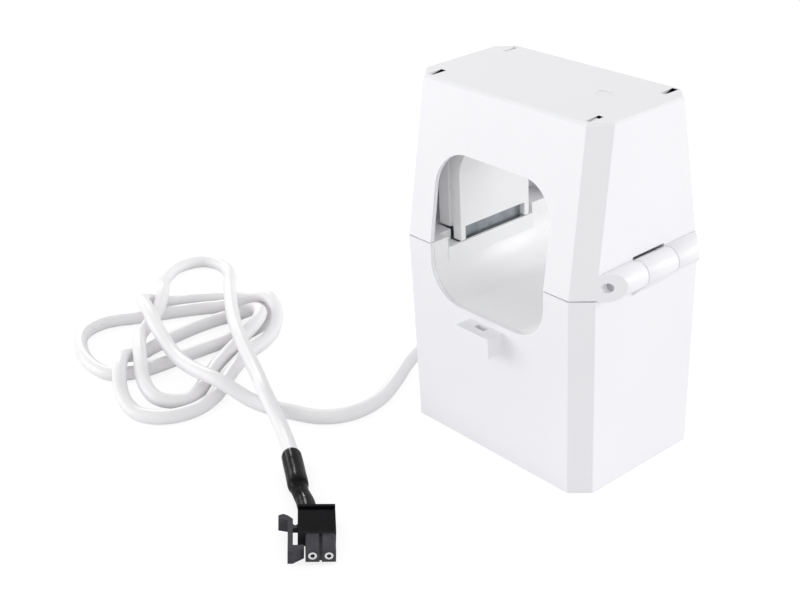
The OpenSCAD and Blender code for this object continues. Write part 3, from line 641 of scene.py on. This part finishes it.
cord, cord_line = make_cord()
shrink_sleeve = make_heat_shrink()
silo_web = make_silo_web()

for node_name, edge in SOFT_EDGES.items():
    soften_edges(node_name, edge)

# --------------------------------------------------------------------------- stage and light


FLOOR_SIZE = 4
FLOOR_DROP = 0.2 * MM
FLOOR_COLOR = (0.88, 0.88, 0.89, 1)
# To the camera the floor is white: part glow, part a diffuse tone that keeps the shadow
SEEN_GLOW = 0.80
SEEN_COLOR = (0.30, 0.30, 0.30, 1)


def make_stage():
    """A pale floor that keeps the shadow and shows as white to the camera."""
    bpy.ops.mesh.primitive_plane_add(size=FLOOR_SIZE, location=(0, 0, -FLOOR_DROP))
    floor = bpy.context.object
    floor.name = "floor"
    material = bpy.data.materials.new("floor")
    material.use_nodes = True
    tree = material.node_tree
    tree.nodes.clear()
    out = tree.nodes.new("ShaderNodeOutputMaterial")
    diffuse = tree.nodes.new("ShaderNodeBsdfDiffuse")
    diffuse.inputs["Color"].default_value = FLOOR_COLOR
    seen = tree.nodes.new("ShaderNodeBsdfDiffuse")
    seen.inputs["Color"].default_value = SEEN_COLOR
    glow = tree.nodes.new("ShaderNodeEmission")
    glow.inputs["Strength"].default_value = SEEN_GLOW
    both = tree.nodes.new("ShaderNodeAddShader")
    pick = tree.nodes.new("ShaderNodeMixShader")
    path = tree.nodes.new("ShaderNodeLightPath")
    tree.links.new(seen.outputs[0], both.inputs[0])
    tree.links.new(glow.outputs[0], both.inputs[1])
    tree.links.new(path.outputs["Is Camera Ray"], pick.inputs["Fac"])
    tree.links.new(diffuse.outputs[0], pick.inputs[1])
    tree.links.new(both.outputs[0], pick.inputs[2])
    tree.links.new(pick.outputs[0], out.inputs["Surface"])
    floor.data.materials.append(material)


def largest(tree, a, b):
    """The larger of two sockets."""
    node = tree.nodes.new("ShaderNodeMath")
    node.operation = "MAXIMUM"
    tree.links.new(a, node.inputs[0])
    tree.links.new(b, node.inputs[1])
    return node.outputs[0]


def make_world(zenith, horizon):
    """White to the camera, gloss and glass; else a soft grey dome, paler towards the horizon."""
    world = bpy.data.worlds.new("world")
    bpy.context.scene.world = world
    world.use_nodes = True
    tree = world.node_tree
    sky = tree.nodes["Background"]
    path = tree.nodes.new("ShaderNodeLightPath")
    mirrored = largest(tree, path.outputs["Is Glossy Ray"], path.outputs["Is Transmission Ray"])
    white = largest(tree, path.outputs["Is Camera Ray"], mirrored)
    way = tree.nodes.new("ShaderNodeTexCoord")
    split = tree.nodes.new("ShaderNodeSeparateXYZ")
    tree.links.new(way.outputs["Generated"], split.inputs["Vector"])
    dome = tree.nodes.new("ShaderNodeMapRange")
    dome.inputs["To Min"].default_value = horizon
    dome.inputs["To Max"].default_value = zenith
    tree.links.new(split.outputs["Z"], dome.inputs["Value"])
    pick = tree.nodes.new("ShaderNodeMix")
    pick.inputs["B"].default_value = 1.0
    tree.links.new(white, pick.inputs["Factor"])
    tree.links.new(dome.outputs["Result"], pick.inputs["A"])
    tree.links.new(pick.outputs["Result"], sky.inputs["Strength"])
    sky.inputs["Color"].default_value = (1, 1, 1, 1)


def softbox(name, place, aim, width, height, power):
    """A rectangular area lamp turned towards a point."""
    data = bpy.data.lights.new(name, "AREA")
    data.shape = "RECTANGLE"
    data.size = width
    data.size_y = height
    data.energy = power
    lamp = bpy.data.objects.new(name, data)
    lamp.location = place
    lamp.rotation_euler = (Vector(aim) - Vector(place)).to_track_quat("-Z", "Y").to_euler()
    bpy.context.scene.collection.objects.link(lamp)
    return lamp


def streak(name, place, width, height, power):
    """A strip that only glossy surfaces show, aimed at the plug end of the lead."""
    lamp = softbox(name, place, SHRINK_LINE[1], width, height, power)
    lamp.visible_diffuse = False


# Two large lamps light the body's sides, and two strips draw the streak on the heat-shrink
BODY_MIDDLE = (0, 0, 0.05)

make_stage()
make_world(zenith=0.65, horizon=1.0)
softbox("left_box", (-1.1, -1.1, 0.42), BODY_MIDDLE, width=1.0, height=0.8, power=7.0)
softbox("right_box", (1.1, 1.1, 0.42), BODY_MIDDLE, width=1.0, height=0.8, power=8.0)
streak("streak_box", (-0.82, 0.32, 0.44), width=0.14, height=0.12, power=2.0)
streak("side_card", (-0.97, 0.08, 0.24), width=0.40, height=0.20, power=0.8)

bpy.context.scene.view_settings.view_transform = "Standard"
